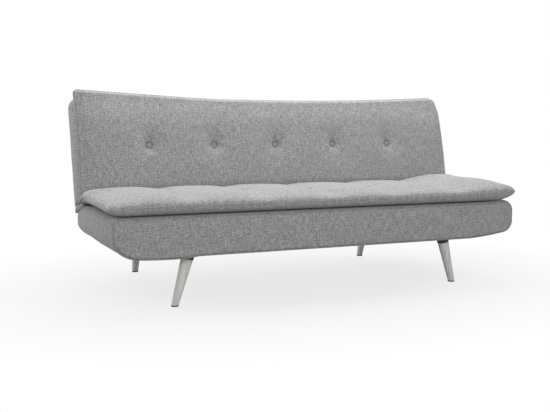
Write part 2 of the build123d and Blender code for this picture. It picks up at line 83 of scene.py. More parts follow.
def node_box(name):
    """Lowest and highest corner of a node as arrays."""
    low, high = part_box(name)
    return np.array(low), np.array(high)


def back_box(name):
    """The same in the backrest's frame: across, up the slope, out of its front."""
    points = np.array([vertex.co for vertex in frame["nodes"][name].data.vertices]) - hinge
    local = np.stack([points[:, 0], points @ up_back, points @ out_back], axis=1)
    return local.min(axis=0), local.max(axis=0)


def to_room(local):
    """From the backrest's frame to the room: hinge + across + up the slope + out of the front."""
    local = np.asarray(local, float)
    return hinge + local[..., :1] * sideways + local[..., 1:2] * up_back + local[..., 2:3] * out_back


base_low, base_high = node_box("seat_front_foam")
base_rear = node_box("seat_rear_foam")[1][1]
pad_low, pad_high = node_box("seat_pad")
block_low, block_high = back_box("back_front_foam")
block_rear = back_box("back_rear_foam")[0][2]
back_pad_low, back_pad_high = back_box("back_pad")
heel = base_rear - hinge[1]
print("hinge at", hinge.round(3), "lean", round(math.degrees(lean), 1), "degrees")

# %% [markdown]
# ## Helpers for grid surfaces
#
# Every new shape is a grid of points worked out by numpy. Faces are index arithmetic on that grid, so no
# Python loop touches single vertices. Coincident edges of the patches are merged. A closed mesh whose faces
# look outwards has a positive volume, so the sign of the volume tells whether it has to be turned inside
# out.

# %% Mesh helpers
def grid_faces(rows, columns, start=0):
    """Quads of a rows by columns grid whose points are numbered row after row."""
    first = np.arange(rows * columns).reshape(rows, columns) + start
    return np.stack([first[:-1, :-1], first[:-1, 1:], first[1:, 1:], first[1:, :-1]], axis=-1).reshape(-1, 4)


def make_mesh(name, patches, closed=True):
    """One mesh from several grids of points, merged where their edges meet; a closed one looks outwards."""
    points, faces, count = [], [], 0
    for patch in patches:
        rows, columns = patch.shape[:2]
        points.append(patch.reshape(-1, 3))
        faces.append(grid_faces(rows, columns, count))
        count += rows * columns
    mesh = bpy.data.meshes.new(name)
    mesh.from_pydata(np.concatenate(points).tolist(), [], np.concatenate(faces).tolist())
    shape = bmesh.new()
    shape.from_mesh(mesh)
    bmesh.ops.remove_doubles(shape, verts=shape.verts, dist=1e-5)
    bmesh.ops.dissolve_degenerate(shape, edges=shape.edges, dist=1e-6)
    if closed:
        bmesh.ops.recalc_face_normals(shape, faces=shape.faces)
        if shape.calc_volume(signed=True) < 0.0:
            bmesh.ops.reverse_faces(shape, faces=shape.faces)
    shape.to_mesh(mesh)
    shape.free()
    return mesh


def make_piece(name, mesh):
    """An object at the origin that shows this mesh, shaded smooth."""
    piece = bpy.data.objects.new(name, mesh)
    scene.collection.objects.link(piece)
    mesh.polygons.foreach_set("use_smooth", np.ones(len(mesh.polygons), bool))
    return piece


def points_of(mesh):
    """Vertex positions as an array of rows."""
    flat = np.empty(len(mesh.vertices) * 3, np.float32)
    mesh.vertices.foreach_get("co", flat)
    return flat.reshape(-1, 3).astype(float)


def set_points(mesh, points):
    """Write vertex positions back."""
    mesh.vertices.foreach_set("co", points.astype(np.float32).ravel())
    mesh.update()


def corner_vertices(mesh):
    """The vertex that each face corner stands on."""
    vertex = np.empty(len(mesh.loops), np.int32)
    mesh.loops.foreach_get("vertex_index", vertex)
    return vertex


def set_weave_map(mesh, places):
    """Write the UV map of the cloth: one pair of coordinates in metres for each face corner."""
    layer = mesh.uv_layers.new(name="weave")
    layer.data.foreach_set("uv", places.astype(np.float32).ravel())


def add_weave_map(piece, across, along):
    """Weave map of a piece: each face is projected along the axis it faces most, as cloth panels are cut.

    across and along are the two cloth directions of the piece's main face; the third is their normal."""
    mesh = piece.data
    frame_axes = np.stack([across, along, np.cross(across, along)])
    normals = np.empty(len(mesh.polygons) * 3, np.float32)
    mesh.polygons.foreach_get("normal", normals)
    facing = np.abs(normals.reshape(-1, 3) @ frame_axes.T)
    facing[:, 2] *= 1.3
    main = facing.argmax(axis=1)
    corners = np.empty(len(mesh.polygons), np.int32)
    mesh.polygons.foreach_get("loop_total", corners)
    local = points_of(mesh)[corner_vertices(mesh)] @ frame_axes.T
    pick = np.array([[1, 2], [0, 2], [0, 1]])[np.repeat(main, corners)]
    set_weave_map(mesh, np.take_along_axis(local, pick, axis=1))


def smooth_noise(points, wavelength, seed):
    """Soft bumps between -1 and 1: a sum of eight sine waves with seeded directions and phases."""
    draw = np.random.default_rng(seed)
    total = np.zeros(len(points))
    for _ in range(8):
        direction = draw.normal(size=3)
        direction *= 2.0 * math.pi / wavelength * draw.uniform(0.6, 1.5) / np.linalg.norm(direction)
        total += np.sin(points @ direction + draw.uniform(0, 2.0 * math.pi))
    return total / 8.0


print("helpers ready")

# %% [markdown]
# ## The cloth
#
# The sofa is covered in a heathered grey plain weave: light and dark yarns cross over and under each other,
# and no two yarns have quite the same tone. The weave is drawn on the piece's own map in metres, so a yarn
# keeps its size on every panel. Each crossing raises one yarn over the other, which gives the bump and picks
# which yarn's tone shows. The colour is also darkened where the weave is low, as painted shade between yarns.

# %% Node helpers
def new_material(name):
    """An empty node material with its output and a Principled shader."""
    material = bpy.data.materials.new(name)
    material.use_nodes = True
    shader = material.node_tree.nodes["Principled BSDF"]
    return material, material.node_tree, shader


def math_node(tree, operation, *values):
    """A Math node fed by sockets or plain numbers."""
    node = tree.nodes.new("ShaderNodeMath")
    node.operation = operation
    for socket, value in zip(node.inputs, values):
        if isinstance(value, (int, float)):
            socket.default_value = value
        else:
            tree.links.new(value, socket)
    return node.outputs[0]


def weighted_sum(tree, parts):
    """Sum of sockets times their weights, as a chain of multiply-and-add nodes."""
    total = 0.0
    for socket, weight in parts:
        total = math_node(tree, "MULTIPLY_ADD", socket, weight, total)
    return total


def noise_node(tree, vector, scale, detail=2.0, roughness=0.5):
    """A Noise texture's value on a vector."""
    node = tree.nodes.new("ShaderNodeTexNoise")
    node.inputs["Scale"].default_value = scale
    node.inputs["Detail"].default_value = detail
    node.inputs["Roughness"].default_value = roughness
    tree.links.new(vector, node.inputs["Vector"])
    return node.outputs["Fac"]


def stretched(tree, vector, scale):
    """The same vector, scaled differently along its axes."""
    node = tree.nodes.new("ShaderNodeMapping")
    node.inputs["Scale"].default_value = scale
    tree.links.new(vector, node.inputs["Vector"])
    return node.outputs["Vector"]


def ramp_node(tree, value, stops):
    """A colour ramp given as (place, grey or colour) pairs."""
    node = tree.nodes.new("ShaderNodeValToRGB")
    ramp = node.color_ramp
    while len(ramp.elements) < len(stops):
        ramp.elements.new(0.5)
    for element, (place, colour) in zip(ramp.elements, stops):
        element.position = place
        element.color = (*((colour,) * 3 if isinstance(colour, float) else colour), 1.0)
    tree.links.new(value, node.inputs["Fac"])
    return node.outputs["Color"]


def bump_node(tree, height, strength, distance):
    """A Bump node on a height."""
    node = tree.nodes.new("ShaderNodeBump")
    node.inputs["Strength"].default_value = strength
    node.inputs["Distance"].default_value = distance
    tree.links.new(height, node.inputs["Height"])
    return node.outputs["Normal"]


# %% Heathered weave
yarn_pitch = 0.0034
warp_streaks, weft_streaks, fleck_size = (165.0, 30.0, 1.0), (45.0, 240.0, 1.0), (230.0, 190.0, 1.0)


def heathered_cloth(name, tone):
    """Plain weave: yarns are half sine waves across u and v, and alternate squares show one or the other."""
    material, tree, shader = new_material(name)
    uv = tree.nodes.new("ShaderNodeUVMap")
    uv.uv_map = "weave"
    split = tree.nodes.new("ShaderNodeSeparateXYZ")
    tree.links.new(uv.outputs["UV"], split.inputs["Vector"])
    wave_u = math_node(tree, "SINE", math_node(tree, "MULTIPLY", split.outputs["X"], math.pi / yarn_pitch))
    wave_v = math_node(tree, "SINE", math_node(tree, "MULTIPLY", split.outputs["Y"], math.pi / yarn_pitch))
    warp = math_node(tree, "ABSOLUTE", wave_u)
    weft = math_node(tree, "ABSOLUTE", wave_v)
    over = math_node(tree, "GREATER_THAN", math_node(tree, "MULTIPLY", wave_u, wave_v), 0.0)
    crossing = tree.nodes.new("ShaderNodeMix")
    tree.links.new(over, crossing.inputs["Factor"])
    tree.links.new(warp, crossing.inputs["A"])
    tree.links.new(weft, crossing.inputs["B"])
    height = crossing.outputs["Result"]

    warp_tone = noise_node(tree, stretched(tree, uv.outputs["UV"], warp_streaks), 1.0, 2.0, 0.7)
    weft_tone = noise_node(tree, stretched(tree, uv.outputs["UV"], weft_streaks), 1.0, 2.0, 0.7)
    yarn_tone = tree.nodes.new("ShaderNodeMix")
    tree.links.new(over, yarn_tone.inputs["Factor"])
    tree.links.new(warp_tone, yarn_tone.inputs["A"])
    tree.links.new(weft_tone, yarn_tone.inputs["B"])
    fleck = noise_node(tree, stretched(tree, uv.outputs["UV"], fleck_size), 1.0, 2.0, 0.6)
    mottle = noise_node(tree, uv.outputs["UV"], 9.0, 3.0, 0.55)
    mixed = weighted_sum(tree, ((yarn_tone.outputs["Result"], 0.55), (fleck, 0.40), (mottle, 0.05)))
    colour = ramp_node(tree, mixed, [(0.36, tone * 0.40), (0.50, tone), (0.64, tone * 1.75)])
    # Painted shade: the yarn colour is multiplied darker where the weave's height is low, in the hollows between
    # the yarns.
    shade = tree.nodes.new("ShaderNodeMix")
    shade.data_type = "RGBA"
    shade.blend_type = "MULTIPLY"
    shade.inputs["Factor"].default_value = 0.45
    tree.links.new(colour, shade.inputs["A"])
    tree.links.new(ramp_node(tree, height, [(0.0, 0.45), (0.75, 1.0)]), shade.inputs["B"])
    tree.links.new(shade.outputs["Result"], shader.inputs["Base Color"])
    tree.links.new(bump_node(tree, height, 0.5, 0.0008), shader.inputs["Normal"])
    shader.inputs["Roughness"].default_value = 0.92
    shader.inputs["Sheen Weight"].default_value = 0.15
    shader.inputs["Sheen Roughness"].default_value = 0.6
    return material


cloth_tone = 0.335
pad_cloth = heathered_cloth("pad_cloth", cloth_tone)
cover_cloth = heathered_cloth("cover_cloth", cloth_tone)
print("cloth:", pad_cloth.name, cover_cloth.name)

# %% [markdown]
# ## Wood, metal and the rest
#
# The legs are grey-washed wood with the grain running down them. Brackets and outriggers are powder-coated
# steel, the hinges are zinc plated, and the hidden frame is sawn softwood. Each reads Object coordinates,
# which stay with the piece when it moves.

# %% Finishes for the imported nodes
def object_vector(tree):
    """The piece's own coordinates in metres."""
    return tree.nodes.new("ShaderNodeTexCoord").outputs["Object"]


def wood(name, dark, light, grain_along, roughness):
    """Long grain: noise stretched along one axis, with fine pores on top."""
    material, tree, shader = new_material(name)
    place = object_vector(tree)
    across, along = 95.0, 5.0
    scale = tuple(along if axis == grain_along else across for axis in "XYZ")
    grain = noise_node(tree, stretched(tree, place, scale), 1.0, 5.0, 0.6)
    pores = noise_node(tree, stretched(tree, place, tuple(6.0 * value for value in scale)), 1.0, 2.0, 0.7)
    both = weighted_sum(tree, ((grain, 0.7), (pores, 0.3)))
    tree.links.new(ramp_node(tree, both, [(0.32, dark), (0.62, light)]), shader.inputs["Base Color"])
    tree.links.new(bump_node(tree, both, 0.25, 0.0006), shader.inputs["Normal"])
    shader.inputs["Roughness"].default_value = roughness
    return material


def coated(name, dark, light, roughness, metallic=0.0, speckle=900.0, depth=0.15):
    """Moulded, painted or plated surface: fine speckle in tone, roughness and bump."""
    material, tree, shader = new_material(name)
    place = object_vector(tree)
    speck = noise_node(tree, place, speckle, 2.0, 0.6)
    cloud = noise_node(tree, place, 14.0, 3.0, 0.5)
    both = weighted_sum(tree, ((cloud, 0.5), (speck, 0.5)))
    tree.links.new(ramp_node(tree, both, [(0.3, dark), (0.7, light)]), shader.inputs["Base Color"])
    tree.links.new(math_node(tree, "MULTIPLY_ADD", both, 0.2, roughness - 0.1), shader.inputs["Roughness"])
    tree.links.new(bump_node(tree, speck, depth, 0.0003), shader.inputs["Normal"])
    shader.inputs["Metallic"].default_value = metallic
    return material


slot_finish = {
    "leg_wood": wood("grey_washed_wood", (0.50, 0.50, 0.495), (0.78, 0.78, 0.77), "Z", 0.5),
    "frame_timber": wood("sawn_softwood", (0.42, 0.29, 0.17), (0.66, 0.50, 0.33), "X", 0.75),
    "webbing": coated("elastic_webbing", (0.03, 0.03, 0.03), (0.08, 0.08, 0.08), 0.9, 0.0, 1400.0, 0.4),
    "black_steel": coated("black_powder_coat", (0.005, 0.005, 0.005), (0.014, 0.014, 0.014), 0.55),
    "zinc_steel": coated("zinc_plate", (0.42, 0.43, 0.44), (0.62, 0.63, 0.64), 0.38, 1.0, 500.0, 0.08),
    "black_plastic": coated("black_plastic", (0.015, 0.015, 0.015), (0.035, 0.035, 0.035), 0.6),
    "bumper_rubber": coated("bumper_rubber", (0.012, 0.012, 0.012), (0.03, 0.03, 0.03), 0.85),
    "dust_cloth": coated("dust_cloth", (0.012, 0.012, 0.012), (0.03, 0.03, 0.03), 0.95, 0.0, 1100.0, 0.5),
    "cover_fabric": cover_cloth,
    "pad_fabric": pad_cloth,
}
for part in frame["record"]["subparts"]:
    node = frame["nodes"][part["node"]]
    node.data.materials.clear()
    node.data.materials.append(slot_finish[part["material_slot"]])

# %% [markdown]
# ## Seat base
#
# The base is a foam-padded box: a front panel with rounded ends is sewn to a strip that runs around it. One
# surface does it: an outline in the front view, carried from front to back. Each station has its own top
# and bottom height, which gives the slope and the round heel that turn under the backrest, and its own
# inset, which gives the sewn groove around the front panel and the soft edge behind it. Foam is never quite
# even, so the panel swells, the cloth ripples a little, and the lower front edge sags beside the left leg.

# %% Outline helpers
def rounded_limit(reach, half, radius):
    """How far a rounded corner cuts in at a distance from the middle: zero up to the arc, then a circle."""
    over = np.clip((reach - (half - radius)) / radius, 0.0, 1.0)
    return radius * (1.0 - np.sqrt(1.0 - over ** 2))


def crowded(count, power):
    """Places from -1 to 1 that crowd towards both ends, where outlines turn."""
    line = np.linspace(-1.0, 1.0, count)
    return np.sign(line) * (1.0 - (1.0 - np.abs(line)) ** power)


def ease(value, start, stop):
    """0 before start, 1 after stop, and a smooth step between them."""
    share = np.clip((value - start) / (stop - start), 0.0, 1.0)
    return share * share * (3.0 - 2.0 * share)


def ring_of(grid):
    """The closed border of a grid, walked once around and back to its start."""
    return np.concatenate([grid[0], grid[1:, -1], grid[-1, -2::-1], grid[-2::-1, 0]])


def block_mesh(name, section, stations):
    """A closed block: the border of each station's grid joined to the next, with the end grids as caps."""
    grids = [section(place, inset) for place, inset in stations]
    return make_mesh(name, [np.stack([ring_of(grid) for grid in grids]), grids[0], grids[-1]])


def sewn_edge(face, inward, seam_inset, seam_width, seam_depth, round_depth):
    """Stations from a flat panel over its sewn groove and round edge: (place, inset) pairs, going inwards.

    The groove is a half wave below the face, and the edge behind it a quarter of an ellipse."""
    wave = np.linspace(0.0, 1.0, 7)
    groove = [(face + inward * seam_depth * math.sin(math.pi * share), seam_inset - seam_width * share)
              for share in wave]
    left = seam_inset - seam_width
    turn = np.linspace(0.0, 0.5 * math.pi, 9)[1:]
    edge = [(face + inward * round_depth * (1.0 - math.cos(angle)), left * (1.0 - math.sin(angle)))
            for angle in turn]
    return groove + edge


# %% Seat base surface
base_half = base_high[0]
base_height = base_high[2] - base_low[2]
end_rise, low_radius, front_top_radius = np.array([(0.015, 0.027), (0.072, 0.042), (0.030, 0.050)])
rear_top_radius, rise_power = 0.010, np.array((2.0, 1.5))
base_rear_radius, underside_lift, end_bulge, right_lift = 0.025, 0.0015, 0.008, 0.009
panel_puff, front_ripple, end_ripple, right_reach, left_sag = 0.006, 0.0014, 0.0015, 0.0105, 0.0065
rise_start = 0.66
slope_start = hinge[1] + heel * math.sin(lean) - (
    base_high[2] - hinge[2] - heel * math.cos(lean)) / math.tan(lean)


def base_top_at(y):
    """Top of the base: level, then the slope under the backrest, then the heel about the hinge axis."""
    if y < slope_start:
        return base_high[2]
    if y < hinge[1] + heel * math.sin(lean):
        return hinge[2] + heel / math.cos(lean) - (y - hinge[1]) * math.tan(lean)
    return hinge[2] + math.sqrt(max(heel ** 2 - (y - hinge[1]) ** 2, 0.0))


def base_bottom_at(y):
    """Underside: a shade above the dust cover behind the front panel, and round at the rear."""
    lift = underside_lift * ease(y, base_low[1] + 0.02, base_low[1] + 0.04)
    return base_low[2] + lift + rounded_limit(y, base_rear, base_rear_radius)


def base_section(y, inset):
    """Front-view grid at one station: straight columns between the lower and the upper edge of the outline.

    The radii and the rise of the two ends come in pairs, left and right."""
    low, high = base_bottom_at(y) + inset, base_top_at(y) - inset
    scale = (high - low) / base_height
    swell = end_bulge * math.sin(math.pi * np.clip((y - base_low[1]) / (base_rear - base_low[1]), 0.0, 1.0))
    half = base_half - inset + swell
    columns = half * crowded(141, 2.4)
    reach = np.abs(columns)
    right = (columns > 0.0).astype(int)
    front_radius = front_top_radius[right]
    top_radius = front_radius + (rear_top_radius - front_radius) * ease(y, -0.05, 0.12)
    rise = np.clip((reach - rise_start) / (half - rise_start), 0.0, 1.0) ** rise_power[right]
    under = low + scale * (end_rise[right] * rise + rounded_limit(reach, half, low_radius[right]))
    over = high + scale * (right_lift * ease(columns, 0.76, 0.88) - rounded_limit(reach, half, top_radius))
    share = np.linspace(0.0, 1.0, 21)[:, None]
    z = under * (1.0 - share) + over * share
    x = np.broadcast_to(columns, z.shape)
    return np.stack([x, np.full_like(z, y), z], axis=-1)


front = base_low[1]
base_stations = sewn_edge(front, 1.0, 0.009, 0.005, 0.0038, 0.020)
base_stations += [(y, 0.0) for y in np.linspace(front + 0.03, slope_start, 26)]
base_stations += [(y, 0.0) for y in np.linspace(slope_start + 0.01, hinge[1] + 0.6 * heel, 12)]
base_stations += [(hinge[1] + heel * math.sin(angle), 0.0) for angle in np.linspace(0.75, 0.5 * math.pi, 8)]
base_mesh = block_mesh("seat_base_cover", base_section, base_stations)
base_points = points_of(base_mesh)
panel = base_points[:, 1] < front + 0.0001
panel_swell = np.sin(math.pi * np.clip((base_points[:, 2] - base_low[2]) / base_height, 0.0, 1.0)) ** 0.7
panel_swell *= 1.0 - ease(np.abs(base_points[:, 0]), base_half - 0.06, base_half - 0.012)
base_points[panel, 1] -= panel_puff * panel_swell[panel]
base_points[:, 1] += front_ripple * smooth_noise(base_points, 0.17, 3) * ease(base_points[:, 2], 0.215, 0.235)
at_end = ease(np.abs(base_points[:, 0]), 0.7, 0.85)
base_points[:, 0] += end_ripple * smooth_noise(base_points, 0.20, 4) * at_end
base_points[:, 0] += right_reach * ease(base_points[:, 0], 0.6, 0.88)
sag = ease(base_points[:, 0], -0.86, -0.78) * (1.0 - ease(base_points[:, 0], -0.62, -0.55))
sag *= 1.0 - ease(base_points[:, 1], front + 0.035, front + 0.075)
sag *= 1.0 - ease(base_points[:, 2], base_low[2] + 0.01, base_low[2] + 0.10)
base_points[:, 2] -= left_sag * sag
set_points(base_mesh, base_points)
seat_base = make_piece("seat_base_cover", base_mesh)
seat_base.data.materials.append(cover_cloth)
add_weave_map(seat_base, sideways, upwards)
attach(seat_base, "seat")
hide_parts("seat_front_foam", "seat_left_end_foam", "seat_right_end_foam", "seat_deck_foam",
            "seat_rear_foam")
print("seat base:", len(base_mesh.vertices), "points")

# %% [markdown]
# ## Backrest block
#
# The same idea in the backrest's own frame: a rounded outline carried from the rear to the front. The rear
# panel has its sewn groove, and the front edge turns in deeply, which leaves the dark crevice behind the
# pad. The lower part of the rear stays flat, because it rests on the bumpers when the backrest is down.

# %% Backrest surface
block_half, block_top, block_bottom = block_high[0], block_high[1] + 0.005, block_low[1]
block_face = block_high[2]
block_top_radius, block_low_radius = 0.030, 0.012
front_turn, front_inset, rear_sag, back_bulge = 0.085, 0.046, 0.011, 0.009
rear_puff, back_ripple, back_end_ripple = 0.006, 0.0012, 0.0015


def back_section(out, inset):
    """Outline grid of the backrest at one distance out of its front; its lower rear edge hangs a little."""
    through = (out - block_rear) / (block_face - block_rear)
    half = block_half - inset + back_bulge * math.sin(math.pi * through)
    low = block_bottom + inset - rear_sag * ease(-out, 0.03, 0.07)
    high = block_top - inset
    columns = half * crowded(121, 2.4)
    reach = np.abs(columns)
    under = low + rounded_limit(reach, half, block_low_radius)
    over = high - rounded_limit(reach, half, block_top_radius)
    share = np.linspace(0.0, 1.0, 41)[:, None]
    up = under * (1.0 - share) + over * share
    x = np.broadcast_to(columns, up.shape)
    return to_room(np.stack([x, up, np.full_like(up, out)], axis=-1))


back_stations = sewn_edge(block_rear, 1.0, 0.020, 0.005, 0.0042, 0.032)
back_stations += [(out, 0.0) for out in np.linspace(block_rear + 0.044, block_face - front_turn, 12)]
back_stations += [(block_face - front_turn * (1.0 - math.sin(angle)), front_inset * (1.0 - math.cos(angle)))
                  for angle in np.linspace(0.0, 0.5 * math.pi, 11)[1:]]
back_mesh = block_mesh("backrest_cover", back_section, back_stations)
back_cloud = points_of(back_mesh)
depth = (back_cloud - hinge) @ out_back
up_along = (back_cloud - hinge) @ up_back
bed_contact = node_box("rest_bumpers")[1][1] - hinge[1] + 0.06
up_share = np.clip((up_along - bed_contact) / (block_top - bed_contact), 0.0, 1.0)
rear_swell = np.sin(math.pi * up_share) * (
    1.0 - ease(np.abs(back_cloud[:, 0]), block_half - 0.07, block_half - 0.016))
loose = np.maximum(ease(up_along, bed_contact, bed_contact + 0.08), depth > block_rear + 0.05)
back_cloud -= (rear_puff * rear_swell * (depth < block_rear + 0.0001))[:, None] * out_back
back_cloud += (back_ripple * loose * smooth_noise(back_cloud, 0.18, 7))[:, None] * out_back
at_end = ease(np.abs(back_cloud[:, 0]), 0.8, 0.87)
back_cloud[:, 0] += back_end_ripple * smooth_noise(back_cloud, 0.16, 8) * at_end
set_points(back_mesh, back_cloud)
backrest = make_piece("backrest_cover", back_mesh)
backrest.data.materials.append(cover_cloth)
add_weave_map(backrest, sideways, up_back)
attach(backrest, "backrest")
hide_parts("back_front_foam", "back_rear_foam", "back_left_end_foam", "back_right_end_foam",
            "back_top_foam")
print("backrest:", len(back_mesh.vertices), "points")

# %% [markdown]
# ## Pillow-top pads
#
# Each pad is two cloth panels sewn together around a welted seam and filled with wadding: thickest in the
# middle, drawn in between its corners, and pulled down to the block at five buttons. The plan is a
# rectangle whose corners are rounded by the square-to-disc rule and whose sides bow inwards. The height
# rises from the seam as a round edge and then as a slow crown.
#
# A formula alone looks too even. So the pad is made a little too thin, and then a cloth simulation blows it
# up from the inside while the seam and the underside are held, which is what stuffing does. The buttons
# come last, as they do in a workshop: each pulls in a pointed dimple and a soft valley across the pad.

# %% Plan and height of a pad
button_places = (-0.590, -0.295, 0.0, 0.295, 0.590)
button_pit = 0.008


def spaced(low, high, count, marks, width):
    """Places between two ends that stand closer together near the ends and near each mark."""
    fine = np.linspace(low, high, 4001)
    crowd = 1.0 + 2.4 * np.exp(-((fine - low) / 0.04) ** 2) + 2.4 * np.exp(-((high - fine) / 0.04) ** 2)
    for mark in marks:
        crowd = crowd + 2.2 * np.exp(-((fine - mark) / width) ** 2)
    total = np.concatenate([[0.0], np.cumsum(0.5 * (crowd[1:] + crowd[:-1]))])
    return np.interp(np.linspace(0.0, total[-1], count), total, fine)


def pad_plan(ends, sides, row, corners, end_pulls, side_pulls, counts):
    """Plan points of a pad, and for each the distance to the nearer end and to the nearer side.

    Corner radii come as low left, low right, high left, high right, and each edge bows in by its own pull."""
    middle_x, half = 0.5 * (ends[0] + ends[1]), 0.5 * (ends[1] - ends[0])
    middle_y, reach = 0.5 * (sides[0] + sides[1]), 0.5 * (sides[1] - sides[0])
    x = spaced(*ends, counts[0], button_places, 0.035)[None, :] - middle_x + np.zeros((counts[1], 1))
    y = spaced(*sides, counts[1], (row,), 0.035)[:, None] - middle_y + np.zeros((1, counts[0]))
    right, high = (x > 0.0).astype(int), (y > 0.0).astype(int)
    corner = np.array(corners)[2 * high + right]
    to_end, to_side = half - np.abs(x), reach - np.abs(y)
    a = np.clip(1.0 - to_end / corner, 0.0, 1.0)
    b = np.clip(1.0 - to_side / corner, 0.0, 1.0)
    round_x = np.abs(x) + corner * (a * np.sqrt(1.0 - 0.5 * b ** 2) - a)
    round_y = np.abs(y) + corner * (b * np.sqrt(1.0 - 0.5 * a ** 2) - b)
    u, v = round_x / half, round_y / reach
    round_x = round_x - np.array(end_pulls)[right] * (1.0 - v ** 2) * u ** 3
    round_y = round_y - np.array(side_pulls)[high] * (1.0 - u ** 2) * v ** 3
    return middle_x + np.sign(x) * round_x, middle_y + np.sign(y) * round_y, to_end, to_side


def rolled(gap, length):
    """The round edge of a pad: a quarter of an ellipse from 0 at the seam to 1 at this length from it."""
    return np.sqrt(1.0 - (1.0 - np.clip(gap / length, 0.0, 1.0)) ** 2)


def crowned(gap, length):
    """The slow rise of the wadding: a parabola from 0 at the seam to 1 at this length from it."""
    return 1.0 - (1.0 - np.clip(gap / length, 0.0, 1.0)) ** 2


def button_pull(x, y, row, front_edge, depth, width, stretch, valley, valley_width):
    """Sum over the buttons of a pointed dimple, falling off as an exponential, and a valley across the pad.

    The dimple reaches stretch times as far above the row and a little further along five creases, and it ends
    in a pit with steep sides around the button. The valley fades in behind the pad's front edge."""
    pull = np.zeros_like(x)
    fade = crowned(np.maximum(y - front_edge, 0.0), 0.09)
    for number, place in enumerate(button_places):
        away = np.hypot(x - place, (y - row) / np.where(y > row, stretch, 1.0))
        pull += button_pit * (1.0 - ease(np.hypot(x - place, y - row), 0.0135, 0.0195))
        crease = 1.0 + 0.05 * np.cos(5.0 * np.arctan2(y - row, x - place) + 1.7 * number)
        pull += depth * np.exp(-away / (width * crease))
        pull += valley * fade * np.exp(-((x - place) / valley_width) ** 2)
    return pull


print("pad rules ready")

# %% Stuffing a pad
stuffing_frames, evening_rounds, sharp_share = 20, 120, 0.12


def near_points(cloud, marks, reach):
    """Which points of a cloud lie within reach of any mark: distances come from squares and dot products."""
    squares = np.sum(cloud ** 2, axis=1)[:, None] + np.sum(marks ** 2, axis=1) - 2.0 * cloud @ marks.T
    return squares.min(axis=1) < reach ** 2


def evened(mesh, values, held, rounds):
    """Rows of values averaged with their neighbours' along the edges, round after round; held rows stay."""
    pairs = np.empty(len(mesh.edges) * 2, np.int32)
    mesh.edges.foreach_get("vertices", pairs)
    pairs = pairs.reshape(-1, 2)
    ends, others = np.concatenate([pairs, pairs[:, ::-1]]).T
    count = np.bincount(ends, minlength=len(values))[:, None]
    for _ in range(rounds):
        near = [np.bincount(ends, column[others], len(values)) for column in values.T]
        values = np.where(held[:, None], values, 0.5 * (values + np.stack(near, axis=1) / count))
    return values


def stuff(piece, held, pressure, tight, cap):
    """Blow the piece up from inside with the Cloth modifier, keep held points, and cap each point's travel.

    tight is the share by which the cover is cut smaller than the filling. Most of the travel is evened out
    afterwards, because thick wadding doesn't fold as sharply as the bare cloth does."""
    mesh = piece.data
    before = points_of(mesh)
    group = piece.vertex_groups.new(name="held")
    group.add(np.flatnonzero(held).tolist(), 1.0, "REPLACE")
    cloth = piece.modifiers.new("Stuffing", "CLOTH")
    settings = cloth.settings
    settings.quality = 6
    settings.mass = 0.3
    settings.tension_stiffness = settings.compression_stiffness = 18.0
    settings.shear_stiffness = 6.0
    settings.bending_stiffness = 2.5
    settings.shrink_min = tight
    settings.use_pressure = True
    settings.uniform_pressure_force = pressure
    settings.vertex_group_mass = "held"
    settings.effector_weights.gravity = 0.0
    cloth.collision_settings.use_collision = False
    cloth.point_cache.frame_start, cloth.point_cache.frame_end = 1, stuffing_frames
    for step in range(1, stuffing_frames + 1):
        scene.frame_set(step)
    blown = piece.evaluated_get(bpy.context.evaluated_depsgraph_get()).data
    after = points_of(blown)
    piece.modifiers.remove(cloth)
    piece.vertex_groups.clear()
    scene.frame_set(1)
    move = after - before
    length = np.linalg.norm(move, axis=1)
    move *= np.minimum(1.0, cap / np.maximum(length, 1e-9))[:, None]
    move = sharp_share * move + (1.0 - sharp_share) * evened(mesh, move, held, evening_rounds)
    set_points(mesh, before + move)
    farthest = 1000.0 * np.linalg.norm(move, axis=1).max()
    print("stuffing moved", piece.name, "by up to", farthest.round(1), "mm")


def subdivided(piece):
    """Apply one smooth subdivision to the piece's mesh."""
    modifier = piece.modifiers.new("Smooth", "SUBSURF")
    modifier.levels = modifier.render_levels = 1
    finer = bpy.data.meshes.new_from_object(piece.evaluated_get(bpy.context.evaluated_depsgraph_get()))
    piece.modifiers.remove(modifier)
    finer.name = piece.name
    piece.data = finer
    finer.polygons.foreach_set("use_smooth", np.ones(len(finer.polygons), bool))


def seam_welt(name, ring, outward, radius):
    """The sewn edge of a pad: a thin tube along a closed ring of points, with circles across the ring."""
    ring = ring[:-1]
    step = np.roll(ring, -1, axis=0) - np.roll(ring, 1, axis=0)
    step /= np.linalg.norm(step, axis=1)[:, None]
    side = np.cross(step, outward)
    side /= np.linalg.norm(side, axis=1)[:, None]
    angle = np.linspace(0.0, 2.0 * math.pi, 11)
    tube = ring[:, None] + radius * (np.cos(angle)[None, :, None] * side[:, None]
                                     + np.sin(angle)[None, :, None] * outward)
    piece = make_piece(name, make_mesh(name, [np.concatenate([tube, tube[:1]])]))
    piece.data.materials.append(pad_cloth)
    return piece


# %% Seat pad
seat_ends = (-0.909, 0.902)
seat_front, seat_rear = pad_low[1] + 0.002, pad_high[1] - 0.001
seat_bottom = pad_low[2]
seat_roll, seat_crown, seat_row = 0.024, 0.0085, -0.165
right_fullness, left_fullness, under_edge = 0.0145, 0.001, 0.005
plan_x, plan_y, to_end, to_side = pad_plan(
    seat_ends, (seat_front, seat_rear), seat_row, corners=(0.030, 0.036, 0.010, 0.010),
    end_pulls=(0.010, 0.006), side_pulls=(0.010, 0.004), counts=(191, 61))
end_share = ease(np.abs(plan_x), 0.72, 0.89)
seam = 0.038 + 0.008 * ease(plan_x, 0.60, 0.90) - 0.006 * ease(-plan_x, 0.74, 0.89)
seam += 0.008 * end_share * np.exp(-((plan_y - 0.010) / 0.040) ** 2)
tuck = 0.028 * ease(plan_y, 0.03, seat_rear) * (0.2 + 0.8 * end_share)
to_front, to_rear = plan_y - plan_y[:1], plan_y[-1:] - plan_y
round_edge = rolled(to_end, 0.040) * rolled(to_front, 0.036) * rolled(to_rear, 0.016)
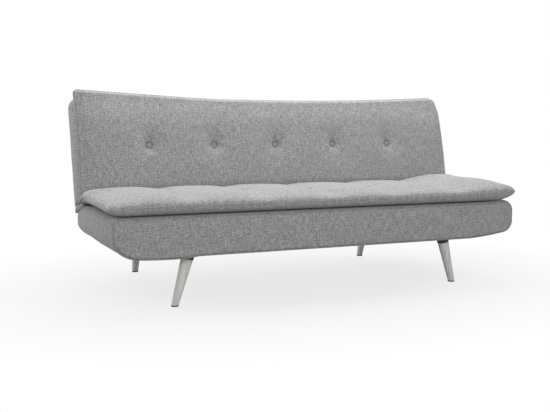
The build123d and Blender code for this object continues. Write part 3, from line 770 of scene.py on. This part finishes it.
crown = seat_crown + right_fullness * ease(plan_x, 0.60, 0.80) + left_fullness * ease(-plan_x, 0.45, 0.75)
crown = crown * crowned(to_end, 0.08) * crowned(to_front, 0.20)
upper = seat_bottom + seam - tuck + (seat_roll + tuck) * round_edge + crown
under_roll = 0.085 - 0.005 * ease(plan_x, 0.0, 0.5)
under_rise = 1.0 - rolled(to_end, under_roll) * rolled(to_side, 0.072)
lower = seat_bottom + (seam - tuck + crown - under_edge) * under_rise
lower += under_edge * (1.0 - crowned(np.minimum(to_end, to_side), 0.10))
seat_patches = [np.stack([plan_x, plan_y, level], axis=-1) for level in (upper, lower)]
seat_ring = ring_of(seat_patches[0])
seat_pad = make_piece("seat_pad_cushion", make_mesh("seat_pad_cushion", seat_patches))
seat_pad.data.materials.append(pad_cloth)
cloud = points_of(seat_pad.data)
resting = (cloud[:, 2] < seat_bottom + 0.012) & (np.abs(cloud[:, 0]) < seat_ends[1] - 0.02)
resting |= near_points(cloud, seat_ring, 0.0005)
stuff(seat_pad, resting, pressure=1.8, tight=0.004, cap=0.008)
subdivided(seat_pad)
cloud = points_of(seat_pad.data)
pull = button_pull(cloud[:, 0], cloud[:, 1], seat_row, seat_front, depth=0.018, width=0.024, stretch=1.0,
                   valley=0.009, valley_width=0.055)
cloud[:, 2] -= pull * ease(cloud[:, 2], seat_bottom + 0.034, seat_bottom + 0.056)
set_points(seat_pad.data, cloud)
add_weave_map(seat_pad, sideways, rearwards)
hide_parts("seat_pad")
seat_welt = seam_welt("seat_pad_welt", seat_ring, upwards, radius=0.0018)
add_weave_map(seat_welt, sideways, rearwards)
for piece in (seat_pad, seat_welt):
    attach(piece, "seat")
print("seat pad:", len(cloud), "points, top at", cloud[:, 2].max().round(4))

# %% Back pad
back_ends = (-0.893, 0.912)
back_low_end, back_top_end = back_pad_low[1], back_pad_high[1] + 0.003
back_face = back_pad_low[2]
back_seam, back_crown = 0.015, 0.012
back_row = back_pad_high[1] - 0.234
left_ear = 0.008
plan_x, plan_y, to_end, to_side = pad_plan(
    back_ends, (back_low_end, back_top_end), back_row, corners=(0.020, 0.030, 0.018, 0.048),
    end_pulls=(0.008, -0.008), side_pulls=(0.010, 0.028), counts=(191, 55))
plan_y += left_ear * ease(-plan_x, 0.20, 0.75) * ease(plan_y, 0.30, 0.50)
seam_out = back_seam - 0.012 * ease(plan_y, back_top_end - 0.09, back_top_end - 0.03)
back_roll = 0.026 - 0.010 * ease(plan_y, back_top_end - 0.14, back_top_end - 0.02)
round_edge = rolled(to_end, 0.040) * rolled(plan_y[-1:] - plan_y, 0.018) * rolled(plan_y - plan_y[:1], 0.050)
outer = back_face + seam_out + (back_roll + back_seam - seam_out) * round_edge
outer += back_crown * crowned(to_end, 0.18) * crowned(to_side, 0.24)
inner = back_face + seam_out * (1.0 - rolled(to_end, 0.045) * rolled(to_side, 0.045))
back_patches = [to_room(np.stack([plan_x, plan_y, level], axis=-1)) for level in (outer, inner)]
back_ring = ring_of(back_patches[0])
back_pad = make_piece("back_pad_cushion", make_mesh("back_pad_cushion", back_patches))
back_pad.data.materials.append(pad_cloth)
cloud = points_of(back_pad.data)
resting = ((cloud - hinge) @ out_back < back_face + 0.006) | near_points(cloud, back_ring, 0.0005)
stuff(back_pad, resting, pressure=0.8, tight=0.010, cap=0.003)
subdivided(back_pad)
cloud = points_of(back_pad.data)
up_along, out_along = (cloud - hinge) @ up_back, (cloud - hinge) @ out_back
pull = button_pull(cloud[:, 0], up_along, back_row, back_low_end, depth=0.034, width=0.028, stretch=1.8,
                   valley=0.002, valley_width=0.07)
cloud -= (pull * ease(out_along, back_face + 0.014, back_face + 0.036))[:, None] * out_back
set_points(back_pad.data, cloud)
add_weave_map(back_pad, sideways, up_back)
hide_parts("back_pad")
back_welt = seam_welt("back_pad_welt", back_ring, out_back, radius=0.0038)
add_weave_map(back_welt, sideways, up_back)
for piece in (back_pad, back_welt):
    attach(piece, "backrest")
print("back pad:", len(back_pad.data.vertices), "points")

# %% [markdown]
# ## Covered buttons
#
# Upholstery buttons are metal domes wrapped in the same cloth. Each is a profile turned about its axis: a
# low dome with a tight shoulder, whose skirt goes down into the dimple.

# %% Buttons
def button_caps(name, places, across, along, outward, radius, rise):
    """Turned domes: radius and height follow a profile, and the angle goes once around."""
    profile = np.array([(0.0, 1.0), (0.30, 0.97), (0.58, 0.86), (0.80, 0.66), (0.94, 0.38), (1.0, 0.05),
                        (0.96, -0.25), (0.82, -0.45), (0.70, -1.00), (0.0, -1.00)]) * np.array([radius, rise])
    angle = np.linspace(0.0, 2.0 * math.pi, 33)
    spin = np.cos(angle)[:, None] * across + np.sin(angle)[:, None] * along
    dome = profile[:, None, :1] * spin[None] + profile[:, None, 1:] * outward
    piece = make_piece(name, make_mesh(name, [dome + place for place in places]))
    piece.data.materials.append(pad_cloth)
    add_weave_map(piece, across, along)
    return piece


def level_at(piece, place, direction):
    """Height of a pad along a direction where a button stands: the mean of its points under the button."""
    cloud = points_of(piece.data)
    across = cloud - place
    away = across - np.outer(across @ direction, direction)
    near = np.linalg.norm(away, axis=1) < 0.009
    heights = across[near] @ direction
    return np.mean(heights[heights > 0.5 * heights.max()])


button_radius = 0.0135
seat_spots = [np.array([x, seat_row, seat_bottom]) for x in button_places]
seat_spots = [spot + (level_at(seat_pad, spot, upwards) + 0.004) * upwards for spot in seat_spots]
seat_buttons = button_caps("seat_button_caps", seat_spots, sideways, rearwards, upwards, button_radius,
                           rise=0.007)
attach(seat_buttons, "seat")
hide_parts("seat_buttons")
back_spots = [to_room([x, back_row, back_face]) for x in button_places]
back_spots = [spot + (level_at(back_pad, spot, out_back) + 0.005) * out_back for spot in back_spots]
back_buttons = button_caps("back_button_caps", back_spots, sideways, up_back, out_back, button_radius,
                           rise=0.008)
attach(back_buttons, "backrest")
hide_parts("back_buttons")
print("buttons:", len(seat_spots), "on the seat,", len(back_spots), "on the back")

# %% [markdown]
# ## Fold flap
#
# The mattress goes on past the seat pad: a padded tongue runs down the slope of the base, under the
# backrest, and round its heel. Its section is a straight run and an arc about the hinge axis with a rounded
# tip, and its two ends are rounded like a bolster's. In front it is thinner, to leave room for the folded
# gusset.

# %% Fold flap surface
flap_half = base_half + 0.008
flap_inner, flap_outer = heel + 0.0008, block_bottom - 0.0008
flap_front, flap_wrap, end_round, gusset_fold = 0.140, math.radians(50.0), 0.014, 0.009
thick, middle_radius = 0.5 * (flap_outer - flap_inner), 0.5 * (flap_outer + flap_inner)
bend = np.linspace(0.0, flap_wrap, 14)[1:]
run_out = np.concatenate([np.linspace(flap_front, 0.0, 18), -middle_radius * np.sin(bend)])
run_up = np.concatenate([np.full(18, middle_radius), middle_radius * np.cos(bend)])
side_out = np.concatenate([np.zeros(18), -np.sin(bend)])
side_up = np.concatenate([np.ones(18), np.cos(bend)])
along = np.concatenate([[0.0], np.cumsum(np.hypot(np.diff(run_out), np.diff(run_up)))])
to_tip = along[-1] - along
half_thick = thick * np.sqrt(np.clip(1.0 - np.clip(1.0 - to_tip / thick, 0.0, 1.0) ** 2, 0.0, 1.0))
flap_x = flap_half * crowded(81, 2.6)
end_share = np.clip((np.abs(flap_x) - (flap_half - end_round)) / end_round, 0.0, 1.0)
end_taper = np.sqrt(np.clip(1.0 - end_share ** 2, 0.0, 1.0))[:, None]
sides = []
for sign, thinned in ((1.0, gusset_fold + 0.001), (-1.0, 0.0)):
    flank = sign * (half_thick - thinned * ease(run_out, 0.015, 0.030)) * end_taper
    out, rise = run_out + side_out * flank, run_up + side_up * flank
    sides.append(to_room(np.stack([np.broadcast_to(flap_x[:, None], out.shape), rise, out], axis=-1)))
front_edge = np.stack([sides[0][:, 0], sides[1][:, 0]], axis=1)
flap = make_piece("crease_flap", make_mesh("crease_flap", [*sides, front_edge]))
flap.data.materials.append(pad_cloth)
add_weave_map(flap, sideways, out_back)
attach(flap, "seat")
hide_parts("fold_flap")
print("crease flap:", len(flap.data.vertices), "points")

# %% [markdown]
# ## Gusset between the pads
#
# When the backrest goes down, the two pads move apart. On a real sofa bed a pleated strip of quilted cloth
# is sewn in there: folded flat in the crease while one sits, and opened like a fan as a bed. Here it is a
# stack of thin layers between the flap and the backrest, built folded; its weave map is laid out as the fan
# about the hinge axis that it would open into. Its outer edge swells between the pleats, which shows as
# soft ribs.

# %% Pleated gusset
gusset_low, gusset_high = block_bottom - gusset_fold - 0.0008, block_bottom - 0.0008
gusset_half, gusset_inner, gusset_outer, rib_depth, ribs = base_half - 0.004, 0.035, 0.112, 0.015, 3
layer = np.linspace(0.0, 1.0, 73)
turned = ease(layer, 0.0, 1.0)
layer_up = gusset_low + (gusset_high - gusset_low) * layer
layer_out = gusset_outer + rib_depth * np.sqrt(np.abs(np.sin(ribs * math.pi * turned)))
gusset_x = gusset_half * crowded(61, 2.0)
share = np.linspace(0.0, 1.0, 9)


def gusset_patch(x, up, out):
    """Grid of room points from across, up and out, which are spread over each other."""
    return to_room(np.stack(np.broadcast_arrays(x, up, out), axis=-1))


gusset_patches = [gusset_patch(gusset_x[:, None], layer_up, layer_out),
                  gusset_patch(gusset_x[:, None], layer_up, gusset_inner)]
for row in (0, -1):
    gusset_patches.append(gusset_patch(gusset_x[:, None], layer_up[row],
                                       gusset_inner + (layer_out[row] - gusset_inner) * share))
for side in (-1.0, 1.0):
    swell = 0.006 * np.sin(math.pi * layer)[:, None] * np.sin(math.pi * share)
    gusset_patches.append(gusset_patch(side * (gusset_half + swell), layer_up[:, None],
                                       gusset_inner + (layer_out[:, None] - gusset_inner) * share))
gusset = make_piece("crease_gusset", make_mesh("crease_gusset", gusset_patches))
gusset.data.materials.append(pad_cloth)
local = points_of(gusset.data) - hinge
opened = np.clip((local @ up_back - gusset_low) / (gusset_high - gusset_low), 0.0, 1.0)
fan_length = math.radians(fold_joint["range_deg"][1]) * (gusset_outer + rib_depth)
flat_map = np.stack([local[:, 0] + local @ out_back, fan_length * ease(opened, 0.0, 1.0)], axis=1)
set_weave_map(gusset.data, flat_map[corner_vertices(gusset.data)])
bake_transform(gusset)
print("gusset:", len(gusset.data.vertices), "points")

# %% [markdown]
# ## Camera, floor and light
#
# The camera was found by fitting a pinhole view to the sofa's three known lengths. The floor is white, and
# it glows a little for the camera alone, so that the background stays white while the shadow below the sofa
# stays. A broad lamp above, a weaker one in front, one for the left end and an even white surround give the
# soft light of a studio.

# %% Camera
camera_place = Vector((-1.5271, -3.2615, 0.7111))
azimuth, elevation, roll = (math.radians(angle) for angle in (-24.015, 6.133, 0.354))
focal_pixels, picture_width, sensor_width = 819.7, 550.0, 36.0
right = Vector((math.cos(azimuth), math.sin(azimuth), 0.0))
backward = Vector((math.sin(azimuth) * math.cos(elevation), -math.cos(azimuth) * math.cos(elevation),
                   math.sin(elevation)))
upward = backward.cross(right)
camera_right = math.cos(roll) * right + math.sin(roll) * upward
camera_up = math.cos(roll) * upward - math.sin(roll) * right
camera_data = bpy.data.cameras.new("camera")
camera_data.sensor_width = sensor_width
camera_data.lens = focal_pixels * sensor_width / picture_width
camera = bpy.data.objects.new("camera", camera_data)
scene.collection.objects.link(camera)
camera.matrix_world = Matrix((
    (camera_right.x, camera_up.x, backward.x, camera_place.x),
    (camera_right.y, camera_up.y, backward.y, camera_place.y),
    (camera_right.z, camera_up.z, backward.z, camera_place.z),
    (0.0, 0.0, 0.0, 1.0)))
scene.camera = camera
print("lens", round(camera_data.lens, 2), "mm")

# %% Floor and world
def camera_only(tree):
    """1 for rays from the camera, mirrors and glass, 0 for the light that falls on things."""
    path = tree.nodes.new("ShaderNodeLightPath")
    seen = math_node(tree, "ADD", path.outputs["Is Camera Ray"], path.outputs["Is Glossy Ray"])
    both = math_node(tree, "ADD", seen, path.outputs["Is Transmission Ray"])
    return math_node(tree, "MINIMUM", both, 1.0)


floor_line = np.linspace(-12.0, 12.0, 3)
floor_x, floor_y = np.meshgrid(floor_line, floor_line)
floor_grid = np.stack([floor_x, floor_y, np.full_like(floor_x, -0.0005)], axis=-1)
floor = make_piece("floor", make_mesh("floor", [floor_grid], closed=False))
floor_material, tree, shader = new_material("white_floor")
shader.inputs["Base Color"].default_value = (0.40, 0.40, 0.40, 1.0)
shader.inputs["Roughness"].default_value = 0.9
glow = tree.nodes.new("ShaderNodeEmission")
glow.inputs["Color"].default_value = (1.0, 1.0, 1.0, 1.0)
distance = tree.nodes.new("ShaderNodeVectorMath")
distance.operation = "LENGTH"
tree.links.new(stretched(tree, object_vector(tree), (0.72, 1.0, 0.0)), distance.inputs[0])
half_distance = math_node(tree, "MULTIPLY", distance.outputs["Value"], 0.5)
fade = ramp_node(tree, half_distance, [(0.22, 0.78), (0.62, 1.0)])
blend_floor = tree.nodes.new("ShaderNodeMixShader")
tree.links.new(math_node(tree, "MULTIPLY", camera_only(tree), fade), blend_floor.inputs["Fac"])
tree.links.new(shader.outputs["BSDF"], blend_floor.inputs[1])
tree.links.new(glow.outputs["Emission"], blend_floor.inputs[2])
tree.links.new(blend_floor.outputs["Shader"], tree.nodes["Material Output"].inputs["Surface"])
floor.data.materials.append(floor_material)

world = bpy.data.worlds.new("studio")
scene.world = world
world.use_nodes = True
sky = world.node_tree.nodes["Background"]
surround = 0.34
level = math_node(world.node_tree, "MULTIPLY_ADD", camera_only(world.node_tree), 1.0 - surround, surround)
sky.inputs["Color"].default_value = (1.0, 1.0, 1.0, 1.0)
world.node_tree.links.new(level, sky.inputs["Strength"])
print("floor and surround ready, surround", surround)

# %% Lamps
def soft_lamp(name, place, target, width, depth, power):
    """A rectangular softbox that faces its target."""
    data = bpy.data.lights.new(name, "AREA")
    data.shape = "RECTANGLE"
    data.size, data.size_y, data.energy = width, depth, power
    lamp = bpy.data.objects.new(name, data)
    scene.collection.objects.link(lamp)
    lamp.location = place
    lamp.rotation_euler = (Vector(target) - Vector(place)).to_track_quat("-Z", "Y").to_euler()
    return lamp


soft_lamp("overhead_softbox", (0.4, 0.5, 1.9), (0.4, 0.5, 0.4), width=3.4, depth=1.5, power=54.0)
soft_lamp("front_fill", (-0.4, -3.8, 1.55), (0.0, 0.0, 0.3), width=2.8, depth=1.0, power=57.0)
soft_lamp("side_rim", (-3.4, 1.6, 1.3), (-0.5, 0.2, 0.4), width=1.4, depth=1.6, power=38.0)
scene.view_settings.view_transform = "Standard"
